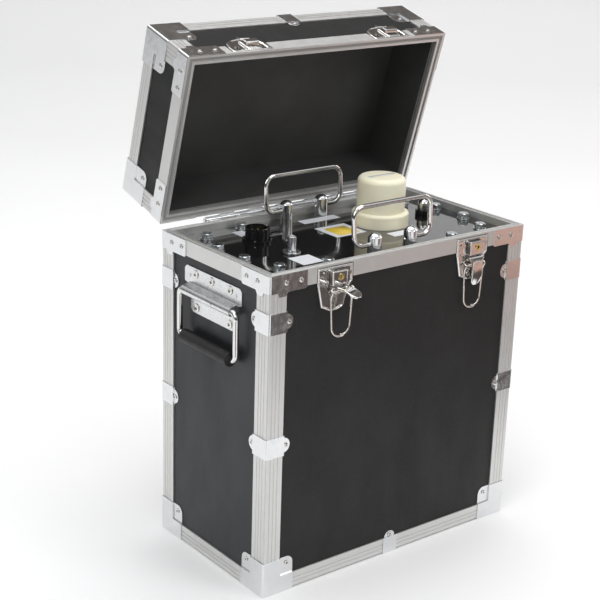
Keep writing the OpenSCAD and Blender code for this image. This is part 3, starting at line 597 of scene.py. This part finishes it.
def lever_piece(name, body, node, cx, lift):
    """dished finger plate, rolled round the pivot at the top, lipped along both sides, with ears for the cross bar"""
    mm = 0.001
    piv = Vector((cx, -0.114, 0.3713))
    rot = Matrix.Rotation(R(-lift), 3, "X")

    def at(u, out, down):
        return piv + rot @ Vector((u * mm, -out * mm, -down * mm))
    bm = bmesh.new()
    # side profile of the outer face: (out, down)
    side = [(-2.1, -0.6), (-1.5, -1.9), (0.2, -2.35), (1.7, -1.6), (2.6, 0.2), (3.2, 3.2), (3.9, 7.5), (4.35, 12), (4.4, 17), (3.9, 22), (2.9, 26.5), (1.8, 30.5), (0.9, 33.3), (0.4, 34.6)]
    mid = 3.5
    cols = [-1.0, -0.97, -0.86, -0.6, -0.25, 0.25, 0.6, 0.86, 0.97, 1.0]
    sink = [1.5, 0.45, 0.0, 0.12, 0.3, 0.3, 0.12, 0.0, 0.45, 1.5]
    top_, bot_ = [], []
    for i, (o_, d_) in enumerate(side):
        # half width: full down to the round tip
        if d_ < 26.5:
            w = 8.5
        else:
            w = max(0.35, math.sqrt(max(0.0, 8.5 ** 2 - (d_ - 26.5) ** 2)))
        a = side[max(i - 1, 0)]
        b = side[min(i + 1, len(side) - 1)]
        t = Vector((b[0] - a[0], b[1] - a[1])).normalized()
        nrm = Vector((t.y, -t.x))
        flat = 0.0 if 1.0 < d_ else 1.0
        fade = min(1.0, max(0.0, d_ / 8.0))
        row, rowb = [], []
        for c, s_ in zip(cols, sink):
            dish = s_ * (fade if s_ < 0.5 else (0.4 + 0.6 * fade))
            p = Vector((o_, d_)) - nrm * dish
            q = Vector((o_, d_)) - nrm * (dish + 0.9)
            row.append(bm.verts.new(at(mid + c * w, p.x, p.y)))
            rowb.append(bm.verts.new(at(mid + c * w * (0.97 if abs(c) > 0.9 else 1), q.x, q.y)))
        top_.append(row)
        bot_.append(rowb)
    m = len(cols)
    for g in (top_, bot_):
        for r0, r1 in zip(g, g[1:]):
            for j in range(m - 1):
                bm.faces.new((r0[j], r0[j + 1], r1[j + 1], r1[j]))
    for i in range(len(side) - 1):
        for j in (0, m - 1):
            bm.faces.new((top_[i][j], top_[i + 1][j], bot_[i + 1][j], bot_[i][j]))
    for i in (0, len(side) - 1):
        for j in range(m - 1):
            bm.faces.new((top_[i][j], top_[i][j + 1], bot_[i][j + 1], bot_[i][j]))
    # ears that carry the cross bar
    for v in (-7.1, 11.6):
        prof = [(-2.4, 1.0), (-2.2, -1.0), (-0.8, -2.2), (0.8, -2.2), (2.2, -1.0), (2.4, 1.0), (2.4, 8)]
        prof += [(2.4 * math.cos(R(t)), 8 + 2.4 * math.sin(R(t))) for t in (30, 60, 90, 120, 150)] + [(-2.4, 8)]
        lo = [bm.verts.new(at(v, a, b)) for a, b in prof]
        hi = [bm.verts.new(at(v + 1.5, a, b)) for a, b in prof]
        k = len(prof)
        bm.faces.new(lo)
        bm.faces.new(hi[::-1])
        for i in range(k):
            bm.faces.new((lo[i], hi[i], hi[(i + 1) % k], lo[(i + 1) % k]))
    o = new_piece(name, body, M["latch_chrome"], bm, node)
    b = o.modifiers.new("edge", "BEVEL")
    b.width = 0.0002
    b.segments = 2
    b.limit_method = "ANGLE"
    b.angle_limit = R(50)
    b.use_clamp_overlap = True
    n = o.modifiers.new("normals", "WEIGHTED_NORMAL")
    n.keep_sharp = False
    return o


lever_piece("left_lever_plate", "left_lever", "left_latch_lever", -0.1055, 88)
lever_piece("right_lever_plate", "right_lever", "right_latch_lever", 0.110, 0)


def housing(name, cx, replaces):
    """pressed lock housing: a rounded box with a framed, slightly sunk face"""
    mm = 0.001
    bm = bmesh.new()
    x0, x1, z0, z1 = -8, 14, 375.2, 392.5
    levels = [(0, -108.5), (0, -113.6), (0.25, -114.5), (0.8, -115.0), (1.25, -115.0), (1.5, -114.8), (2.2, -114.75)]
    rings = []
    for d, y in levels:
        c = 1.3
        a = [(x0 + d, z0 + d), (x1 - d, z0 + d), (x1 - d, z1 - d), (x0 + d, z1 - d)]
        ring = []
        for i in range(4):
            p, pr, nx = Vector(a[i]), Vector(a[i - 1]), Vector(a[(i + 1) % 4])
            e0, e1 = (pr - p).normalized(), (nx - p).normalized()
            cc = max(0.3, c - d * 0.3)
            for q in (p + e0 * cc, p + e0 * cc * 0.3 + e1 * cc * 0.3, p + e1 * cc):
                ring.append(bm.verts.new(((cx * 1000 + q.x) * mm, y * mm, q.y * mm)))
        rings.append(ring)
    n = 12
    for a, b in zip(rings, rings[1:]):
        for i in range(n):
            bm.faces.new((a[i], a[(i + 1) % n], b[(i + 1) % n], b[i]))
    bm.faces.new(rings[0][::-1])
    bm.faces.new(rings[-1])
    new_piece(name, "case", M["latch_chrome"], bm, replaces, bevel=0.00025)


housing("left_lock_housing", -0.1055, "latch_lock_housings")
housing("right_lock_housing", 0.110, "latch_lock_housings")


def lid_point(p):
    """a point of the shut lid, in metres, carried to where the lid stands open"""
    q = Vector(p) - PIN
    return PIN + Matrix.Rotation(-OPEN, 3, "X") @ q


def keeper(name, cx, replaces):
    """pressed keeper on the lid: rolled rim, raised boss and a hook bar for the wire loop"""
    mm = 0.001
    poly = [(-28, 402.8), (26, 402.8), (26.2, 418), (22.5, 428.5), (13.5, 435), (2, 436.2), (-14, 432.6), (-24, 425.5), (-27.6, 415)]
    bm = bmesh.new()

    def solid(rings):
        vs = [[bm.verts.new(lid_point(((cx * 1000 + x) * mm, y * mm, z * mm))) for x, y, z in ring] for ring in rings]
        n = len(vs[0])
        for a, b in zip(vs, vs[1:]):
            for i in range(n):
                bm.faces.new((a[i], a[(i + 1) % n], b[(i + 1) % n], b[i]))
        bm.faces.new(vs[0][::-1])
        bm.faces.new(vs[-1])
    rings = []
    for d, h in [(0, 0), (0.05, 1.0), (0.35, 1.9), (0.9, 2.5), (1.5, 2.6), (2.0, 2.3), (2.4, 1.8), (2.9, 1.52), (3.6, 1.5)]:
        rings.append([(q.x, -107 - h, q.y) for q in fillet(inset_ring(poly, d), 3.0 - 0.3 * d, 4)])
    solid(rings)
    boss = [(-6, 404.2), (15, 404.2), (15, 428.5), (-6, 428.5)]
    rings = []
    for d, h in [(0, 1.2), (0.3, 2.2), (0.9, 3.1), (1.7, 3.5), (2.6, 3.5)]:
        rings.append([(q.x, -107 - h, q.y) for q in fillet(inset_ring(boss, d), 3.2 - 0.5 * d, 4)])
    solid(rings)
    # hook: a bar that stands off the boss and turns up at its lip
    for x0, x1 in ((-4.5, 13.5),):
        prof = [(-109.6, 410.6), (-113.6, 410.8), (-115.2, 411.4), (-115.9, 412.8), (-115.95, 419.8), (-115.4, 420.5), (-114.6, 420.5), (-114.1, 419.8),
                (-114.0, 414.2), (-113.2, 413.4), (-109.6, 413.2)]
        rings = []
        for x, k in ((x0, 0.35), (x0 + 0.35, 0), (x1 - 0.35, 0), (x1, 0.35)):
            ring = []
            c = Vector((-112.6, 413.6))
            for y, z in prof:
                p = Vector((y, z))
                p = p + (c - p).normalized() * k * 0.8
                ring.append((x, p.x, p.y))
            rings.append(ring)
        solid(rings)
    o = new_piece(name, "lid", M["latch_chrome"], bm, replaces)
    b = o.modifiers.new("edge", "BEVEL")
    b.width = 0.0003
    b.segments = 2
    b.limit_method = "ANGLE"
    b.angle_limit = R(48)
    b.use_clamp_overlap = True
    w = o.modifiers.new("normals", "WEIGHTED_NORMAL")
    w.keep_sharp = False


keeper("left_keeper", -0.1055, "latch_keepers")
keeper("right_keeper", 0.110, "latch_keepers")


def card_patch(name, body, mat, corners, thick):
    """thin plain film stuck on a face, with rounded corners"""
    bm = bmesh.new()
    c = [Vector(q) for q in corners]
    nrm = (c[1] - c[0]).cross(c[2] - c[1]).normalized()
    pts = []
    for i in range(4):
        p, pr, nx = c[i], c[i - 1], c[(i + 1) % 4]
        e0, e1 = (pr - p).normalized() * 0.0009, (nx - p).normalized() * 0.0009
        pts += [p + e0, p + e0 * 0.3 + e1 * 0.3, p + e1]
    lo = [bm.verts.new(p) for p in pts]
    hi = [bm.verts.new(p + nrm * thick) for p in pts]
    k = len(pts)
    bm.faces.new(lo[::-1])
    bm.faces.new(hi)
    for i in range(k):
        bm.faces.new((lo[i], lo[(i + 1) % k], hi[(i + 1) % k], hi[i]))
    return new_piece(name, body, mat, bm, None)


card_patch("label_yellow_patch", "case", M["label_yellow"],
           [(-0.012, -0.003, 0.3914), (0.0195, -0.003, 0.3914), (0.0195, 0.0295, 0.3914), (-0.012, 0.0295, 0.3914)], 0.00012)
card_patch("cap_strip", "bushing_cap", M["strip_film"],
           [(0.0468, 0.0128, 0.4530), (0.0885, 0.0123, 0.4530), (0.0886, 0.0190, 0.4530), (0.0469, 0.0195, 0.4530)], 0.00012)


# ---------------------------------------------------------------- floor and light
def make_stage():
    me = bpy.data.meshes.new("floor")
    bm = bmesh.new()
    rows = []
    for y, z in [(-4.5, 0), (0.5, 0), (2.2, 0), (2.9, 0.08), (3.35, 0.35), (3.6, 0.85), (3.7, 1.6), (3.7, 4.5)]:
        rows.append([bm.verts.new((x, y, z)) for x in (-5, 5)])
    for a, b in zip(rows, rows[1:]):
        bm.faces.new((a[0], a[1], b[1], b[0]))
    bm.to_mesh(me)
    bm.free()
    me.polygons.foreach_set("use_smooth", [True] * len(me.polygons))
    o = bpy.data.objects.new("floor", me)
    scene.collection.objects.link(o)
    o.rotation_euler = (0, 0, R(-38.3))
    k = Mat("floor_mat", (0.93, 0.93, 0.93), 0.8)
    k.tint(k.ramp(k.noise(3, 3), 0.3, 0.8, 0, 0.25), (0.9, 0.9, 0.9))
    me.materials.append(k.m)


make_stage()


def area(name, loc, target, size, power, color=(1, 1, 1), size_y=None):
    l = bpy.data.lights.new(name, "AREA")
    l.energy = power
    l.color = color
    l.shape = "RECTANGLE" if size_y else "SQUARE"
    l.size = size
    if size_y:
        l.size_y = size_y
    o = bpy.data.objects.new(name, l)
    scene.collection.objects.link(o)
    o.location = loc
    o.rotation_euler = (Vector(target) - Vector(loc)).to_track_quat("-Z", "Y").to_euler()
    return o


area("key", (-2.6, -1.2, 2.5), (0, 0, 0.25), 2.0, 29)
area("front", (1.4, -3.0, 2.2), (0, 0, 0.25), 1.4, 23)
area("top", (0.2, 0.4, 3.3), (0, 0, 0.3), 3.2, 57)
area("right", (2.8, -0.4, 1.5), (0.1, 0, 0.3), 1.2, 10, (1.0, 0.88, 0.84))


def make_world():
    """soft grey room: bright overhead, dim round the horizon, so that bright metal has something dark to show"""
    w = bpy.data.worlds.new("studio")
    scene.world = w
    w.use_nodes = True
    nt = w.node_tree
    bg = nt.nodes["Background"]
    tc = nt.nodes.new("ShaderNodeTexCoord")
    sep = nt.nodes.new("ShaderNodeSeparateXYZ")
    nt.links.new(tc.outputs["Generated"], sep.inputs[0])
    cr = nt.nodes.new("ShaderNodeValToRGB")
    e = cr.color_ramp.elements
    e[0].position, e[0].color = 0.0, (0.30, 0.28, 0.27, 1)
    e[1].position, e[1].color = 1.0, (1.0, 1.0, 1.0, 1)
    for p, c in ((0.10, (0.13, 0.115, 0.105, 1)), (0.28, (0.20, 0.19, 0.18, 1)), (0.42, (0.62, 0.63, 0.64, 1)), (0.6, (0.95, 0.97, 1.0, 1))):
        x = e.new(p)
        x.color = c
    nt.links.new(sep.outputs[2], cr.inputs[0])
    nt.links.new(cr.outputs[0], bg.inputs[0])
    bg.inputs[1].default_value = 0.7


make_world()


def make_card():
    """dark warm card lying on the floor in front to the right, outside the picture, for the metal to reflect"""
    me = bpy.data.meshes.new("floor_card")
    bm = bmesh.new()
    v = [bm.verts.new(p) for p in ((0.20, -0.60, 0.002), (0.42, -0.36, 0.002), (2.6, -0.36, 0.002), (2.6, -2.8, 0.002), (0.34, -2.8, 0.002))]
    bm.faces.new(v[::-1])
    bm.to_mesh(me)
    bm.free()
    o = bpy.data.objects.new("floor_card", me)
    scene.collection.objects.link(o)
    k = Mat("floor_card_mat", (0.045, 0.032, 0.028), 0.7)
    k.tint(k.ramp(k.axis(0), 0.72, 1.05, 0, 1), (0.60, 0.37, 0.30))
    k.tint(k.ramp(k.noise(5, 4), 0.45, 0.7, 0, 0.35), (0.02, 0.015, 0.013))
    me.materials.append(k.m)
    o.visible_camera = False
    o.visible_shadow = False
    o.visible_diffuse = False


make_card()


def make_flag(name, corners, color, fleck):
    """dark cloth outside the picture, seen only in bright metal"""
    me = bpy.data.meshes.new(name)
    bm = bmesh.new()
    bm.faces.new([bm.verts.new(p) for p in corners])
    bm.to_mesh(me)
    bm.free()
    o = bpy.data.objects.new(name, me)
    scene.collection.objects.link(o)
    k = Mat(name + "_mat", color, 0.8)
    k.tint(k.ramp(k.noise(4, 3), 0.45, 0.7, 0, 0.4), fleck)
    me.materials.append(k.m)
    o.visible_camera = False
    o.visible_shadow = False
    o.visible_diffuse = False


def upright(c, side, half, z0, z1):
    c, side = Vector(c), Vector(side)
    return [c + side * a + Vector((0, 0, z)) for a, z in ((-half, z0), (half, z0), (half, z1), (-half, z1))]


# behind the camera: bright rods show it as a dark line along their middle
make_flag("camera_flag", upright((-2.05, -2.45, 0.0), (0.77, -0.64, 0.0), 0.62, 0.25, 2.1), (0.02, 0.019, 0.018), (0.05, 0.045, 0.04))
# behind the case and above it: the plates on top of the open lid show it
make_flag("back_flag", upright((1.25, 1.15, 0.0), (0.68, -0.73, 0.0), 1.3, 1.15, 2.9), (0.10, 0.085, 0.075), (0.05, 0.045, 0.04))
# strip on the floor towards the camera: upright rods of the side handles show it as a dark line
make_flag("floor_strip", [(-0.472, -0.475, 0.002), (-0.684, -0.325, 0.002), (-1.393, -0.921, 0.002), (-0.807, -1.339, 0.002)], (0.05, 0.035, 0.028), (0.03, 0.022, 0.018))
scene.view_settings.view_transform = "Standard"
